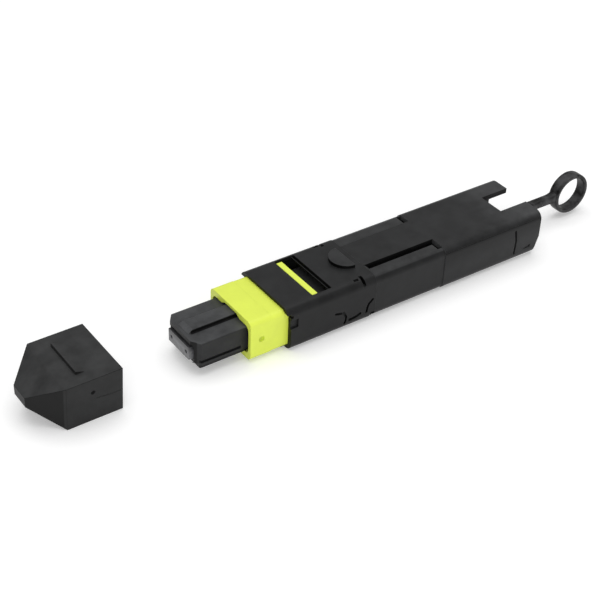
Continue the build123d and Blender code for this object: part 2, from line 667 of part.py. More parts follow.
def cover_side_cuts(side):
    """The stepped front edge, marks, slit, pit and nick of one side of the front cover."""
    outside = BODY_HALF_WIDTH + REACH
    front = COVER_FRONT + REACH
    inner = BODY_HALF_WIDTH - COVER_FRONT_FLANK
    side_rear = COVER_FRONT - COVER_SIDE_RECESS
    roof_low = BODY_HIGH - COVER_ROOF_OVERHANG
    cuts = flank(side_rear, front, inner, outside, side, -REACH, roof_low)
    tab = BODY_HIGH - COVER_TAB_LOW
    tab_rear = side_rear - COVER_TAB_RECESS
    cuts += flank(tab_rear, front, inner, outside, side, tab, tab + COVER_TAB_HEIGHT)
    well_front = COVER_FRONT - WELL_FRONT
    well_low = BODY_LOW + WELL_LOW
    cuts += flank(
        well_front - WELL_LENGTH,
        well_front,
        BODY_HALF_WIDTH - WELL_DEPTH,
        outside,
        side,
        well_low,
        well_low + WELL_HEIGHT,
    )
    cuts += side_groove(HOOK, COVER_REAR, HOOK_WIDTH, MARK_DEPTH, side)
    cuts += side_groove(DASH, COVER_REAR, DASH_WIDTH, MARK_DEPTH, side)
    cuts += side_groove(CURVE, COVER_REAR, CURVE_WIDTH, MARK_DEPTH, side)
    slit = COVER_REAR + SLIT_FRONT
    slit_inner = BODY_HALF_WIDTH - SLIT_FLANK
    slit_low = BODY_HIGH - SLIT_DROP
    cuts += flank(slit - SLIT_LENGTH, slit, slit_inner, outside, side, slit_low, REACH)
    pit = COVER_REAR + PIT_FRONT
    pit_inner = BODY_HALF_WIDTH - PIT_FLANK
    pit_low = BODY_HIGH - PIT_DEPTH
    cuts += flank(pit - PIT_LENGTH, pit, pit_inner, pit_inner + PIT_WIDTH, side, pit_low, REACH)
    nick_inner = BODY_HALF_WIDTH - NICK_FLANK
    nick_top = BODY_LOW + NICK_HEIGHT
    nick_front = COVER_REAR + NICK_LENGTH
    cuts += flank(COVER_REAR, nick_front, nick_inner, outside, side, -REACH, nick_top)
    return cuts


def front_cover():
    """The front cover: the sleeve's guide, the window over its rib and the raised thumb pad."""
    part = body_bar(COVER_REAR, COVER_FRONT)
    part -= bar(
        COVER_BORE_REAR,
        COVER_FRONT,
        COVER_BORE_HALF_WIDTH,
        COVER_BORE_LOW,
        COVER_BORE_HIGH,
        SLEEVE_CORNER,
    )
    part -= bar(
        COVER_REAR,
        COVER_BORE_REAR,
        COVER_TAIL_HALF_WIDTH,
        FRAME_LOW - COVER_TAIL_GAP,
        FRAME_HIGH + COVER_TAIL_GAP,
        FRAME_EDGE,
    )
    window = Pos(
        (WINDOW_FRONT + WINDOW_REAR) / 2, -WINDOW_FAR_EXTRA / 2, BODY_HIGH
    ) * RectangleRounded(
        WINDOW_FRONT - WINDOW_REAR, 2 * WINDOW_HALF_WIDTH + WINDOW_FAR_EXTRA, WINDOW_CORNER
    )
    part -= extrude(window, amount=COVER_ROOF + SLEEVE_CORNER, both=True)
    ridge = WINDOW_REAR + RIDGE_GAP
    part += block(
        ridge,
        ridge + RIDGE_WIDTH,
        -WINDOW_HALF_WIDTH - WINDOW_FAR_EXTRA - LOOSE_GAP,
        WINDOW_HALF_WIDTH + LOOSE_GAP,
        COVER_BORE_HIGH,
        BODY_HIGH - RIDGE_SINK,
    )
    disc = Pos(PAD_REAR, 0, COVER_BORE_HIGH) * Cylinder(
        PAD_RADIUS, COVER_ROOF + PAD_HEIGHT, align=(Align.CENTER, Align.CENTER, Align.MIN)
    )
    half = block(PAD_REAR, PAD_REAR + REACH, -REACH, REACH, -REACH, REACH)
    part += disc & half
    for side in (-1, 1):
        part -= cover_side_cuts(side)
    return part


def middle_frame():
    """The frame between cover and shell: side strips, floor, fibre tray walls and the loop post."""
    part = body_bar(SHELL_FRONT, COVER_REAR, FRAME_INSET)
    part += bar(FRAME_REAR, FRAME_FRONT, FRAME_HALF_WIDTH, FRAME_LOW, FRAME_HIGH, FRAME_EDGE)
    # The fibre tray is open at the top under the lid, and taller where the spring push ends.
    tray_rear = FRAME_REAR + TRAY_REAR_WALL
    part -= bar(tray_rear, FRAME_FRONT, TRAY_HALF_WIDTH, FRAME_FLOOR_TOP, TRAY_TOP)
    part -= bar(tray_rear, SHELL_FRONT, TRAY_HALF_WIDTH, FRAME_FLOOR_TOP, REACH)
    part -= bar(COVER_REAR, FRAME_FRONT, TRAY_HALF_WIDTH, FRAME_FLOOR_TOP, TRAY_FRONT_TOP)
    # The tunnel under the tray lets the slider move.
    tunnel_half_width = SLIDER_HALF_WIDTH + TUNNEL_SIDE_GAP
    part -= bar(FRAME_REAR, FRAME_FRONT, tunnel_half_width, FRAME_LOW - BOOT_GAP, TUNNEL_TOP)
    # The slider's post and the stem's head move in a slot in the tray's floor and rear wall.
    part -= bar(
        SHELL_CAVITY_REAR,
        STEM_HEAD_FRONT + POST_SLOT_GAP,
        SLIDER_POST_HALF_WIDTH + POST_SLOT_GAP,
        TUNNEL_TOP - RUN_GAP,
        REACH,
    )
    # The lid's rail lies in a bed whose near side goes deeper as the long slot.
    far = RAIL_FAR - RUN_GAP
    part -= block(SHELL_FRONT, COVER_REAR, far, RAIL_NEAR, RAIL_LOW, REACH)
    part -= block(SLOT_REAR, SLOT_FRONT, RAIL_NEAR - RUN_GAP, SLOT_NEAR, SLOT_LOW, REACH)
    # The short leg crosses the near strip in front of the shell, and there is one on the far side.
    part -= block(SHELL_FRONT, SLOT_REAR, RAIL_NEAR - RUN_GAP, SLOT_LEG_END, SLOT_LOW, REACH)
    part -= block(SHELL_FRONT, SLOT_REAR, -SLOT_LEG_END, far + RUN_GAP, SLOT_LOW, REACH)
    part += Pos(LOOP_X, 0, FRAME_FLOOR_TOP - LOOSE_GAP) * Cylinder(
        POST_RADIUS,
        POST_HEIGHT + LOOSE_GAP,
        align=(Align.CENTER, Align.CENTER, Align.MIN),
    )
    return part


def rear_shell():
    """The rear shell: a tray around the frame's end, with the bay and two arms behind it."""
    part = body_bar(SHELL_REAR, SHELL_FRONT)
    part -= bar(SHELL_REAR, SHELL_FRONT, BODY_HALF_WIDTH + REACH, LID_LOW - LID_SEAM, REACH)
    part -= bar(
        SHELL_CAVITY_REAR, SHELL_FRONT, BODY_HALF_WIDTH - SHELL_WALL, SHELL_FLOOR_TOP, REACH
    )
    inner = BODY_HALF_WIDTH - ARM_WALL
    part -= bar(SHELL_REAR, BAY_FRONT, inner, -REACH, REACH)
    far_end = SHELL_REAR + ARM_STEP
    part -= flank(SHELL_REAR, far_end, inner, inner + REACH, -1, -REACH, REACH)
    part -= bar(
        BAY_FRONT, SHELL_CAVITY_REAR, PORT_HALF_WIDTH, RING_Z - PORT_HALF_HEIGHT, LID_LOW
    )
    wedge = make_face(
        Polyline(*[(SHELL_REAR + ahead, BODY_LOW + up) for ahead, up in WEDGE + WEDGE[:1]])
    )
    for side in (-1, 1):
        part -= side_groove(
            GROOVE_LINE, SHELL_REAR, GROOVE_LINE_WIDTH, GROOVE_LINE_DEPTH, side
        )
        wall = Plane.XZ.offset(-side * BODY_HALF_WIDTH) * wedge
        part -= extrude(wall, amount=WEDGE_DEPTH, both=True)
    tail = make_face(
        Polyline(*[(SHELL_REAR + ahead, BODY_LOW + up) for ahead, up in TAIL_CUT + TAIL_CUT[:1]])
    )
    part -= extrude(Plane.XZ.offset(-BODY_HALF_WIDTH) * tail, amount=BODY_HALF_WIDTH, dir=(0, -1, 0))
    return part


def rear_lid():
    """The lid over the fibre tray, with the long rail that reaches the front cover."""
    part = body_bar(SHELL_REAR, SHELL_FRONT)
    part -= bar(SHELL_REAR, SHELL_FRONT, BODY_HALF_WIDTH + REACH, -REACH, LID_LOW)
    rail_low = LID_LOW + BOOT_GAP
    rail_rear = SHELL_FRONT - TRAY_REAR_WALL
    part += block(rail_rear, COVER_REAR, RAIL_FAR, RAIL_NEAR, rail_low, BODY_HIGH)
    keel_rear = SLOT_REAR + LOOSE_GAP
    keel_front = COVER_REAR - LOOSE_GAP
    part += block(
        keel_rear, keel_front, RAIL_FAR, RAIL_NEAR, RAIL_LOW + SEAT_GAP, rail_low + LOOSE_GAP
    )
    part -= bar(SHELL_REAR, BAY_FRONT, BAY_HALF_WIDTH, -REACH, REACH)
    # The tab fills the stem's port from above once the ring is in.
    part += bar(
        BAY_FRONT,
        SHELL_CAVITY_REAR,
        PORT_HALF_WIDTH - SEAT_GAP,
        RING_Z + PORT_HALF_HEIGHT,
        LID_LOW + LOOSE_GAP,
    )
    return part


def pull_ring():
    """The pull ring with its stem and the head that pulls the slider."""
    centre = Plane.XZ.offset(-RING_WIDTH / 2) * Pos(RING_X, RING_Z)
    part = extrude(centre * Circle(RING_OUTER_RADIUS), amount=RING_WIDTH, dir=(0, -1, 0))
    low = RING_Z - STEM_HALF_HEIGHT
    high = RING_Z + STEM_HALF_HEIGHT
    reach = RING_X + RING_OUTER_RADIUS - STEM_ROOT
    part += bar(reach, STEM_HEAD_FRONT, STEM_HALF_WIDTH, low, high, STEM_EDGE)
    part += bar(STEM_HEAD_REAR, STEM_HEAD_FRONT, STEM_HEAD_HALF_WIDTH, low, high, STEM_EDGE)
    part -= extrude(centre * Circle(RING_INNER_RADIUS), amount=RING_WIDTH, dir=(0, -1, 0))
    return part


def release_slider():
    """The slider under the fibre tray: a tongue in the sleeve, a plate and a post for the ring."""
    part = bar(
        SLIDER_REAR, SLEEVE_REAR - LOOSE_GAP, SLIDER_HALF_WIDTH, SLIDER_LOW, SLIDER_HIGH
    )
    tongue_front = TONGUE_HEAD_FRONT - RUN_GAP
    tongue_low = SLIDER_LOW - TONGUE_DROP
    neck = TONGUE_NECK_HALF_WIDTH - RUN_GAP
    head = TONGUE_HEAD_HALF_WIDTH - RUN_GAP
    neck_rear = SLEEVE_REAR - 2 * LOOSE_GAP
    part += bar(neck_rear, tongue_front, neck, tongue_low, SLIDER_HIGH)
    part += bar(TONGUE_NECK_FRONT + RUN_GAP, tongue_front, head, tongue_low, SLIDER_HIGH)
    part += bar(
        SLIDER_REAR, SLIDER_POST_FRONT, SLIDER_POST_HALF_WIDTH, SLIDER_LOW, SLIDER_POST_TOP
    )
    part -= bar(
        SLIDER_REAR,
        SLIDER_POST_FRONT,
        PORT_HALF_WIDTH,
        RING_Z - PORT_HALF_HEIGHT,
        SLIDER_POST_TOP,
    )
    return part


def spring_push():
    """The fixed block behind the ferrule spring, with a window for the fibres."""
    half_height = CHAMBER_HALF_HEIGHT - RUN_GAP
    half_width = CHAMBER_HALF_WIDTH - LOOSE_GAP
    part = bar(PUSH_REAR, PUSH_FRONT, half_width, -half_height, half_height, CHAMBER_EDGE)
    part += bar(
        PUSH_REAR,
        NOSE_REAR - LOOSE_GAP,
        PUSH_HALF_WIDTH,
        FRAME_FLOOR_TOP + PUSH_FLOOR_GAP,
        PUSH_TOP,
        CHAMBER_EDGE,
    )
    part -= bar(
        PUSH_REAR,
        PUSH_FRONT,
        BOOT_HALF_WIDTH + WINDOW_GAP,
        -BOOT_HALF_HEIGHT - LOOSE_GAP,
        BOOT_HALF_HEIGHT + LOOSE_GAP,
        FERRULE_EDGE,
    )
    return part


def ferrule_spring():
    """The spring between the spacer and the spring push, around the fibres."""
    return helix_spring(
        SPACER_REAR - SEAT_GAP,
        PUSH_FRONT + SEAT_GAP,
        0,
        FERRULE_SPRING_RADIUS,
        FERRULE_WIRE_RADIUS,
        FERRULE_SPRING_TURNS,
    )


def coupling_spring(side):
    """One of the two thin springs that push the coupling sleeve forward."""
    return helix_spring(
        SPRING_GROOVE_FRONT - SEAT_GAP,
        EAR_FRONT + SEAT_GAP,
        side * COUPLING_SPRING_SIDE,
        COUPLING_SPRING_RADIUS,
        COUPLING_WIRE_RADIUS,
        COUPLING_SPRING_TURNS,
    )


def fibre_loop(index):
    """One fibre from a ferrule channel round the post and back to the mirrored channel."""
    start = FIBRE_PITCH * (index + 0.5)
    radius = LOOP_RADIUS - LOOP_PITCH * (FIBRE_COUNT - 1 - index)
    front = BOOT_REAR - BOOT_GAP
    rims = []
    for shift in (FIBRE_RADIUS, -FIBRE_RADIUS):
        points = [(front, start + shift), (FLARE_X, start + shift)]
        for i in range(1, FLARE_STEPS + 1):
            share = i / FLARE_STEPS
            blend = (1 - math.cos(math.pi * share)) / 2
            x = FLARE_X + (LOOP_X - FLARE_X) * share
            points.append((x, start + (radius - start) * blend + shift))
        for i in range(1, ARC_STEPS + 1):
            angle = math.pi / 2 * i / ARC_STEPS
            reach = radius + shift
            points.append((LOOP_X - reach * math.sin(angle), reach * math.cos(angle)))
        mirrored = [(x, -y) for x, y in reversed(points[:-1])]
        rims.append(points + mirrored)
    outline = rims[0] + list(reversed(rims[1]))
    section = make_face(Polyline(*outline, outline[0]))
    return extrude(Pos(0, 0, -FIBRE_RADIUS) * section, amount=2 * FIBRE_RADIUS, dir=(0, 0, 1))


def cap_section(x, low, high, inset):
    """The cap's outline at one X: a box whose sides lean in towards the bottom."""
    tall = CAP_HIGH - CAP_LOW
    low_half = CAP_HALF_WIDTH - CAP_LEAN * (CAP_HIGH - low) / tall - inset
    high_half = CAP_HALF_WIDTH - CAP_LEAN * (CAP_HIGH - high) / tall - inset
    outline = Polyline(
        (-low_half, low), (low_half, low), (high_half, high), (-high_half, high), (-low_half, low)
    )
    return Plane.YZ.offset(x) * make_face(outline)


def cap_grip():
    """The small wedge on the cap's top that a fingernail pushes on."""
    flush = CAP_MOUTH + CAP_GRIP_START
    end = flush + CAP_GRIP_LENGTH
    root = CAP_HIGH - RUN_GAP
    outline = Polyline(
        (flush, root), (flush, CAP_HIGH), (end, CAP_HIGH + CAP_GRIP_HEIGHT), (end, root), (flush, root)
    )
    start = Plane.XZ.offset(CAP_GRIP_HALF_WIDTH) * make_face(outline)
    return extrude(start, amount=2 * CAP_GRIP_HALF_WIDTH, dir=(0, 1, 0))


def dust_cap():
    """The dust cap: a box with a blunt pyramid for its nose and a drafted bore."""
    shoulder = CAP_MOUTH + CAP_LENGTH
    tip = shoulder + CAP_TAPER_LENGTH
    front = cap_section(CAP_MOUTH, CAP_LOW, CAP_HIGH, 0)
    part = extrude(front, amount=CAP_LENGTH, dir=(1, 0, 0))
    tip_face = Plane.YZ.offset(tip) * Pos(0, (CAP_TIP_LOW + CAP_TIP_HIGH) / 2)
    part += loft(
        [
            cap_section(shoulder, CAP_LOW, CAP_HIGH, 0),
            tip_face * Rectangle(2 * CAP_TIP_HALF_WIDTH, CAP_TIP_HIGH - CAP_TIP_LOW),
        ]
    )
    end = CAP_MOUTH + CAP_BORE_DEPTH
    part -= loft(
        [
            cap_section(CAP_MOUTH, CAP_BORE_LOW, CAP_BORE_HIGH, CAP_WALL),
            cap_section(end, CAP_BORE_LOW, CAP_BORE_HIGH, CAP_WALL + CAP_BORE_DRAFT),
        ]
    )
    part += cap_grip()
    hole = Plane.XZ.offset(-CAP_HALF_WIDTH) * Pos(
        CAP_MOUTH + CAP_HOLE_INSET, CAP_HIGH - CAP_HOLE_DROP
    )
    part -= extrude(hole * Circle(CAP_HOLE_RADIUS), amount=CAP_HOLE_DEPTH, both=True)
    return Pos(0, CAP_SIDE, 0) * part


PARTS = {
    "dust_cap": dust_cap(),
    "ferrule": ferrule(),
    "ferrule_boot": ferrule_boot(),
    "ferrule_spacer": ferrule_spacer(),
    "ferrule_spring": ferrule_spring(),
    "spring_push": spring_push(),
    "plug_housing": plug_housing(),
    "coupling_sleeve": coupling_sleeve(),
    "coupling_spring_near": coupling_spring(1),
    "coupling_spring_far": coupling_spring(-1),
    "front_cover": front_cover(),
    "middle_frame": middle_frame(),
    "rear_shell": rear_shell(),
    "rear_lid": rear_lid(),
    "release_slider": release_slider(),
    "pull_ring": pull_ring(),
}
for number in range(FIBRE_COUNT):
    PARTS[f"fibre_loop_{number + 1}"] = fibre_loop(number)

for name, solid in PARTS.items():
    solids = solid.solids()
    shape = solids[0] if len(solids) == 1 else Compound(solids)
    export_step(shape, f"parts/{name}.step")
    print(name, len(solids), round(shape.volume, 2))
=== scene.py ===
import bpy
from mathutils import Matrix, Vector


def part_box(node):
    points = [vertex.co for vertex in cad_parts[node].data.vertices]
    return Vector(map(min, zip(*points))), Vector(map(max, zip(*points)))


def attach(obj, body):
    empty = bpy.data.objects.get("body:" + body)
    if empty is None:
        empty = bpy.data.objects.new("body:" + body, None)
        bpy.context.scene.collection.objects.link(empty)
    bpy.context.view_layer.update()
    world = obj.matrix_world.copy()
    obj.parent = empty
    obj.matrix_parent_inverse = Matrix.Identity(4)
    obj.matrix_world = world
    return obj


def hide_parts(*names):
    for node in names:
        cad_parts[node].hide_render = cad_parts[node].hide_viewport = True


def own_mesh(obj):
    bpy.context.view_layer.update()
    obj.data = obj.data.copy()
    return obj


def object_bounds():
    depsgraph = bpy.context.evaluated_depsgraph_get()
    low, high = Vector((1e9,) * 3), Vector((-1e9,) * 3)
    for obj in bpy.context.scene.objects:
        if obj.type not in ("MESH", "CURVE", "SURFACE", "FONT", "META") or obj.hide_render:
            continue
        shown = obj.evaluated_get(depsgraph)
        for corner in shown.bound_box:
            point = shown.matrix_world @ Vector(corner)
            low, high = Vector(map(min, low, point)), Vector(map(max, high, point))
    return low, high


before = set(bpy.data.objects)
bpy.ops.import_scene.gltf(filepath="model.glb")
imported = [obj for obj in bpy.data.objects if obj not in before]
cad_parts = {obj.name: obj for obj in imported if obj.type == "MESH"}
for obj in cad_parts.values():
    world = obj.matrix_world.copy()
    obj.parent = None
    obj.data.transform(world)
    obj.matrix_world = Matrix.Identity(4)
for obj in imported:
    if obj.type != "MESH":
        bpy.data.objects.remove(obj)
cad_box = [list(corner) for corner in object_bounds()]

import math

import bpy
import numpy as np
from mathutils import Matrix, Vector

MM = 0.001


# Ferrule: a small block of glass-filled plastic with two guide bores, polished flat at its end,
# where the twelve fibre ends show as a row of points. Its boot, spacer and spring sit behind it.


def add_node(material, kind, inputs, **settings):
    """Adds a node to the material. An input given as a socket is linked, any other is set."""
    tree = material.node_tree
    node = tree.nodes.new(kind)
    for name, value in settings.items():
        setattr(node, name, value)
    for name, value in inputs.items():
        if isinstance(value, bpy.types.NodeSocket):
            tree.links.new(value, node.inputs[name])
        else:
            node.inputs[name].default_value = value
    return node


def reckon(material, operation, *values):
    """The sum, difference, product or size of the values, as a socket."""
    node = add_node(material, "ShaderNodeMath", dict(enumerate(values)), operation=operation)
    return node.outputs["Value"]


def fade(material, source, start, end, low=0.0, high=1.0):
    """A value that goes from low to high, and no further, while the source goes from start to end."""
    span = {"Value": source, "From Min": start, "From Max": end, "To Min": low, "To Max": high}
    return add_node(material, "ShaderNodeMapRange", span).outputs["Result"]


def paint_over(material, shares, colour, blend_type="MIX"):
    """Lays a colour over the material's own one, by the product of the shares."""
    share = shares[0]
    for other in shares[1:]:
        share = reckon(material, "MULTIPLY", share, other)
    base = material.node_tree.nodes["Principled BSDF"].inputs["Base Color"]
    layers = {"Factor": share, "A": base.links[0].from_socket, "B": (*colour, 1)}
    mixed = add_node(material, "ShaderNodeMix", layers, data_type="RGBA", blend_type=blend_type)
    material.node_tree.links.new(mixed.outputs["Result"], base)


def moulded(
    name,
    colour,
    rough,
    grain,
    depth,
    mottle=0.12,
    patch=3.2,
    patch_fade=(0.32, 0.68),
    edge=0.08,
    edge_wear_and_shade=0.25,
    edge_wear_and_shade_colour=None,
    shine=0.5,
):
    """Moulded plastic, with lengths in mm. Fine noise of the given grain and depth makes the bump.
    Coarser noise, as large as a patch, shifts the colour by +/- mottle and the roughness by a little.
    The angle between the rounded normal and the flat one finds the edges, which are rounded by edge
    and turn, by the share given for edge wear and shade, to the edge colour: a lighter one where none
    is given, for wear, and a darker one where given, for painted shade."""
    smoother, rougher = rough - 0.05, rough + 0.06
    bend_start, bend_full = 0.995, 0.86  # cosines of the angle between the two normals
    material = bpy.data.materials.new(name)
    material.use_nodes = True
    links = material.node_tree.links
    shader = material.node_tree.nodes["Principled BSDF"]
    shader.inputs["Specular IOR Level"].default_value = shine
    place = add_node(material, "ShaderNodeTexCoord", {}).outputs["Object"]

    grains = {"Vector": place, "Scale": 1 / (grain * MM), "Detail": 4}
    fine = add_node(material, "ShaderNodeTexNoise", grains).outputs["Fac"]
    patches = {"Vector": place, "Scale": 1 / (patch * MM), "Detail": 5, "Roughness": 0.6}
    coarse = add_node(material, "ShaderNodeTexNoise", patches).outputs["Fac"]
    tint = add_node(material, "ShaderNodeValToRGB", {"Fac": coarse})
    for stop, position, shift in zip(tint.color_ramp.elements, patch_fade, (-mottle, mottle)):
        stop.position = position
        stop.color = (*[part * (1 + shift) for part in colour], 1)
    links.new(tint.outputs["Color"], shader.inputs["Base Color"])
    links.new(fade(material, coarse, 0.3, 0.7, smoother, rougher), shader.inputs["Roughness"])

    bevel = add_node(material, "ShaderNodeBevel", {"Radius": edge * MM}, samples=6)
    rounded = bevel.outputs["Normal"]
    relief = {"Height": fine, "Normal": rounded, "Strength": 0.6, "Distance": depth * MM}
    bump = add_node(material, "ShaderNodeBump", relief)
    links.new(bump.outputs["Normal"], shader.inputs["Normal"])
    flat = add_node(material, "ShaderNodeNewGeometry", {}).outputs["Normal"]
    normals = {0: rounded, 1: flat}
    bend = add_node(material, "ShaderNodeVectorMath", normals, operation="DOT_PRODUCT")
    edge_wear_and_shade_share = fade(material, bend.outputs["Value"], bend_start, bend_full, 0.0, edge_wear_and_shade)
    paint_over(material, [edge_wear_and_shade_share], edge_wear_and_shade_colour or [min(1, part * 1.6 + 0.03) for part in colour])
    return material


def paint_light_and_shade(material, gain, x=(None, None), y=(None, None), z=(None, None), blend=0.06, facing=None):
    """Paints light and shade into the colour: multiplies it by gain between two limits of Object X, Y
    and Z, in mm, where None leaves an end open. Each limit fades over +/- blend. With facing, an axis
    letter, a least and a full value, it grows with that part of the surface's own normal."""
    place = add_node(material, "ShaderNodeTexCoord", {})
    split = add_node(material, "ShaderNodeSeparateXYZ", {"Vector": place.outputs["Object"]})
    shares = []
    for axis, (low, high) in {"X": x, "Y": y, "Z": z}.items():
        for limit, inwards in ((low, blend * MM), (high, -blend * MM)):
            if limit is not None:
                start, end = limit * MM - inwards, limit * MM + inwards
                shares.append(fade(material, split.outputs[axis], start, end))
    if facing is not None:
        axis, least, full = facing
        normal = add_node(material, "ShaderNodeSeparateXYZ", {"Vector": place.outputs["Normal"]})
        shares.append(fade(material, normal.outputs[axis], least, full))
    paint_over(material, shares, (gain, gain, gain), "MULTIPLY")


WELD_REACH = 0.0005 * MM


def dress(node, material, crease=32):
    """Gives a CAD node its material. Its points are welded and its faces made smooth, and an edge
    stays sharp where it bends by more than the crease, in degrees."""
    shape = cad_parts[node]
    shape.data.materials.clear()
    shape.data.materials.append(material)
    shape.data.polygons.foreach_set("use_smooth", [True] * len(shape.data.polygons))
    weld = shape.modifiers.new("weld", "WELD")
    weld.merge_threshold = WELD_REACH
    split = shape.modifiers.new("corners", "EDGE_SPLIT")
    split.split_angle = math.radians(crease)
    return shape


FERRULE = moulded(
    "ferrule_plastic",
    colour=(0.13, 0.13, 0.137),
    rough=0.34,
    grain=0.05,
    depth=0.004,
    mottle=0.35,
    patch=0.9,
    edge=0.05,
    edge_wear_and_shade=0.3,
)
# Painted shade: the ferrule's upper part, in the hood's shadow, is painted darker.
HOOD_SHADE_FROM = 0.55
paint_light_and_shade(FERRULE, 0.3, z=(HOOD_SHADE_FROM, None), blend=0.35)
dress("ferrule", FERRULE)

RUBBER = moulded(
    "boot_rubber",
    colour=(0.05, 0.05, 0.06),
    rough=0.75,
    grain=0.08,
    depth=0.01,
    mottle=0.1,
    edge=0.06,
    edge_wear_and_shade=0.1,
)
dress("ferrule_boot", RUBBER)

SPACER = moulded(
    "spacer_plastic",
    colour=(0.02, 0.02, 0.021),
    rough=0.45,
    grain=0.09,
    depth=0.008,
    mottle=0.15,
)
dress("ferrule_spacer", SPACER)
dress("spring_push", SPACER)

WIRE = moulded(
    "spring_wire",
    colour=(0.6, 0.6, 0.62),
    rough=0.28,
    grain=0.06,
    depth=0.002,
    mottle=0.05,
    edge=0.02,
    edge_wear_and_shade=0.0,
)
WIRE.node_tree.nodes["Principled BSDF"].inputs["Metallic"].default_value = 1.0
COIL_CREASE = 60


def dress_spring(node):
    """Dresses a spring as wire and gives it a mesh of its own."""
    spring = dress(node, WIRE, COIL_CREASE)
    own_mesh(spring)


dress_spring("ferrule_spring")


def grid_piece(name, x, y, z, body, material, ring=False):
    """Joins a grid of points, in mm, whose X, Y and Z spread to one array of rows and columns,
    into one mesh of quads. The columns close into a ring. The rows do too where ring is True, and
    else the first and last row are filled."""
    points = np.stack(np.broadcast_arrays(x, y, z), axis=-1)
    index = np.arange(points[..., 0].size).reshape(points.shape[:2])
    here, ahead = index, np.roll(index, -1, axis=0)
    if not ring:
        here, ahead = here[:-1], ahead[:-1]
    corners = [here, np.roll(here, -1, axis=1), np.roll(ahead, -1, axis=1), ahead]
    faces = np.stack(corners, axis=-1).reshape(-1, 4).tolist()
    if not ring:
        faces += [index[0][::-1].tolist(), index[-1].tolist()]
    mesh = bpy.data.meshes.new(name)
    mesh.from_pydata((points.reshape(-1, 3) * MM).tolist(), [], faces)
    mesh.polygons.foreach_set("use_smooth", [True] * len(mesh.polygons))
    mesh.update()
    mesh.materials.append(material)
    piece = bpy.data.objects.new(name, mesh)
    bpy.context.scene.collection.objects.link(piece)
    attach(piece, body)
    return piece


GLASS = bpy.data.materials.new("polished_fibre_glass")
GLASS.use_nodes = True
core = GLASS.node_tree.nodes["Principled BSDF"]
core.inputs["Roughness"].default_value = 0.08
SPECK_SIZE = 0.02
object_place = add_node(GLASS, "ShaderNodeTexCoord", {}).outputs["Object"]
specks = {"Vector": object_place, "Scale": 1 / (SPECK_SIZE * MM)}
speck = add_node(GLASS, "ShaderNodeTexNoise", specks)
hue = add_node(GLASS, "ShaderNodeValToRGB", {"Fac": speck.outputs["Fac"]})
hue.color_ramp.elements[0].color = (0.32, 0.34, 0.36, 1)
hue.color_ramp.elements[1].color = (0.42, 0.44, 0.46, 1)
GLASS.node_tree.links.new(hue.outputs["Color"], core.inputs["Base Color"])

FIBRE_ENDS = 12
FIBRE_END_RADIUS = 0.0625
FIBRE_END_PITCH = 0.25
FIBRE_END_SUNK = 0.05
FIBRE_END_PROUD = 0.002
FIBRE_END_SIDES = 16

# Each fibre end is a short disc: two rows at its two X, with Y and Z as the cosine and sine of the
# way round, times the radius.
disc_x = np.array([[-FIBRE_END_SUNK], [FIBRE_END_PROUD]])
way_round = np.linspace(0, 2 * np.pi, FIBRE_END_SIDES, endpoint=False)
disc_y = FIBRE_END_RADIUS * np.cos(way_round)
disc_z = FIBRE_END_RADIUS * np.sin(way_round)
for number in range(FIBRE_ENDS):
    middle = (number - (FIBRE_ENDS - 1) / 2) * FIBRE_END_PITCH
    name = f"fibre_end_{number + 1}"
    grid_piece(name, disc_x, middle + disc_y, disc_z, "ferrule_unit", GLASS)


# Fibre loops: six coated glass fibres, each from one channel of the ferrule round the post in the
# tray and back to the mirrored channel. The thin coating is aqua.

COATING = moulded(
    "aqua_coating",
    colour=(0.1, 0.55, 0.65),
    rough=0.3,
    grain=0.2,
    depth=0.001,
    mottle=0.04,
    edge=0.03,
    edge_wear_and_shade=0.0,
)
FIBRE_CREASE = 40
for number in range(1, 7):
    dress(f"fibre_loop_{number}", COATING, FIBRE_CREASE)


# Plug housing: one black moulding with the hood, the key on top and a groove low in each side. It
# is held between the front cover and the spring push.

NOSE_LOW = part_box("plug_housing")[0][2] / MM
NOSE_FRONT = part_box("plug_housing")[1][0] / MM
NOSE_TOP = -NOSE_LOW
TOP_SKIN = 0.15
LOWER_EDGE = 0.6
RIM_DEPTH = 0.3
RIM_FACE_DEPTH = 0.7
KEY_SIDE = 1.5
KEY_FOOT_START = 1.1
KEY_FOOT_WIDTH = 0.35
PLUG = moulded(
    "plug_plastic",
    colour=(0.02, 0.0205, 0.0213),
    rough=0.42,
    grain=0.14,
    depth=0.012,
    mottle=0.3,
    edge=0.12,
    shine=0.2,
)
# Painted light and shade: the top is painted lighter than the sides, and the ramp in front of the key
# lighter still. The bottom and its edges are painted darker.
paint_light_and_shade(PLUG, 2.6, z=(NOSE_TOP - TOP_SKIN, None))
paint_light_and_shade(PLUG, 0.34, z=(None, NOSE_LOW + LOWER_EDGE))
paint_light_and_shade(PLUG, 1.4, z=(NOSE_TOP + 0.02, None), blend=0.02, facing=("X", 0.2, 0.4))
# Painted shade: the rim round the mouth is painted a deeper black, inside and in front, and so is the
# near corner at the key's foot.
paint_light_and_shade(PLUG, 0.06, x=(NOSE_FRONT - RIM_DEPTH, None), z=(None, NOSE_TOP - TOP_SKIN))
paint_light_and_shade(PLUG, 0.06, x=(NOSE_FRONT - RIM_FACE_DEPTH, None), z=(None, NOSE_TOP), facing=("X", 0.2, 0.5))
paint_light_and_shade(
    PLUG,
    0.08,
    x=(None, NOSE_FRONT - KEY_FOOT_START),
    y=(KEY_SIDE - 0.05, KEY_SIDE + KEY_FOOT_WIDTH),
    z=(NOSE_TOP - 0.1, None),
    blend=0.05,
)
dress("plug_housing", PLUG)


# Coupling sleeve: a lime moulding that slides on the plug housing, with a rib that shows in the
# cover's window. Two thin steel springs in its side grooves push it forward.

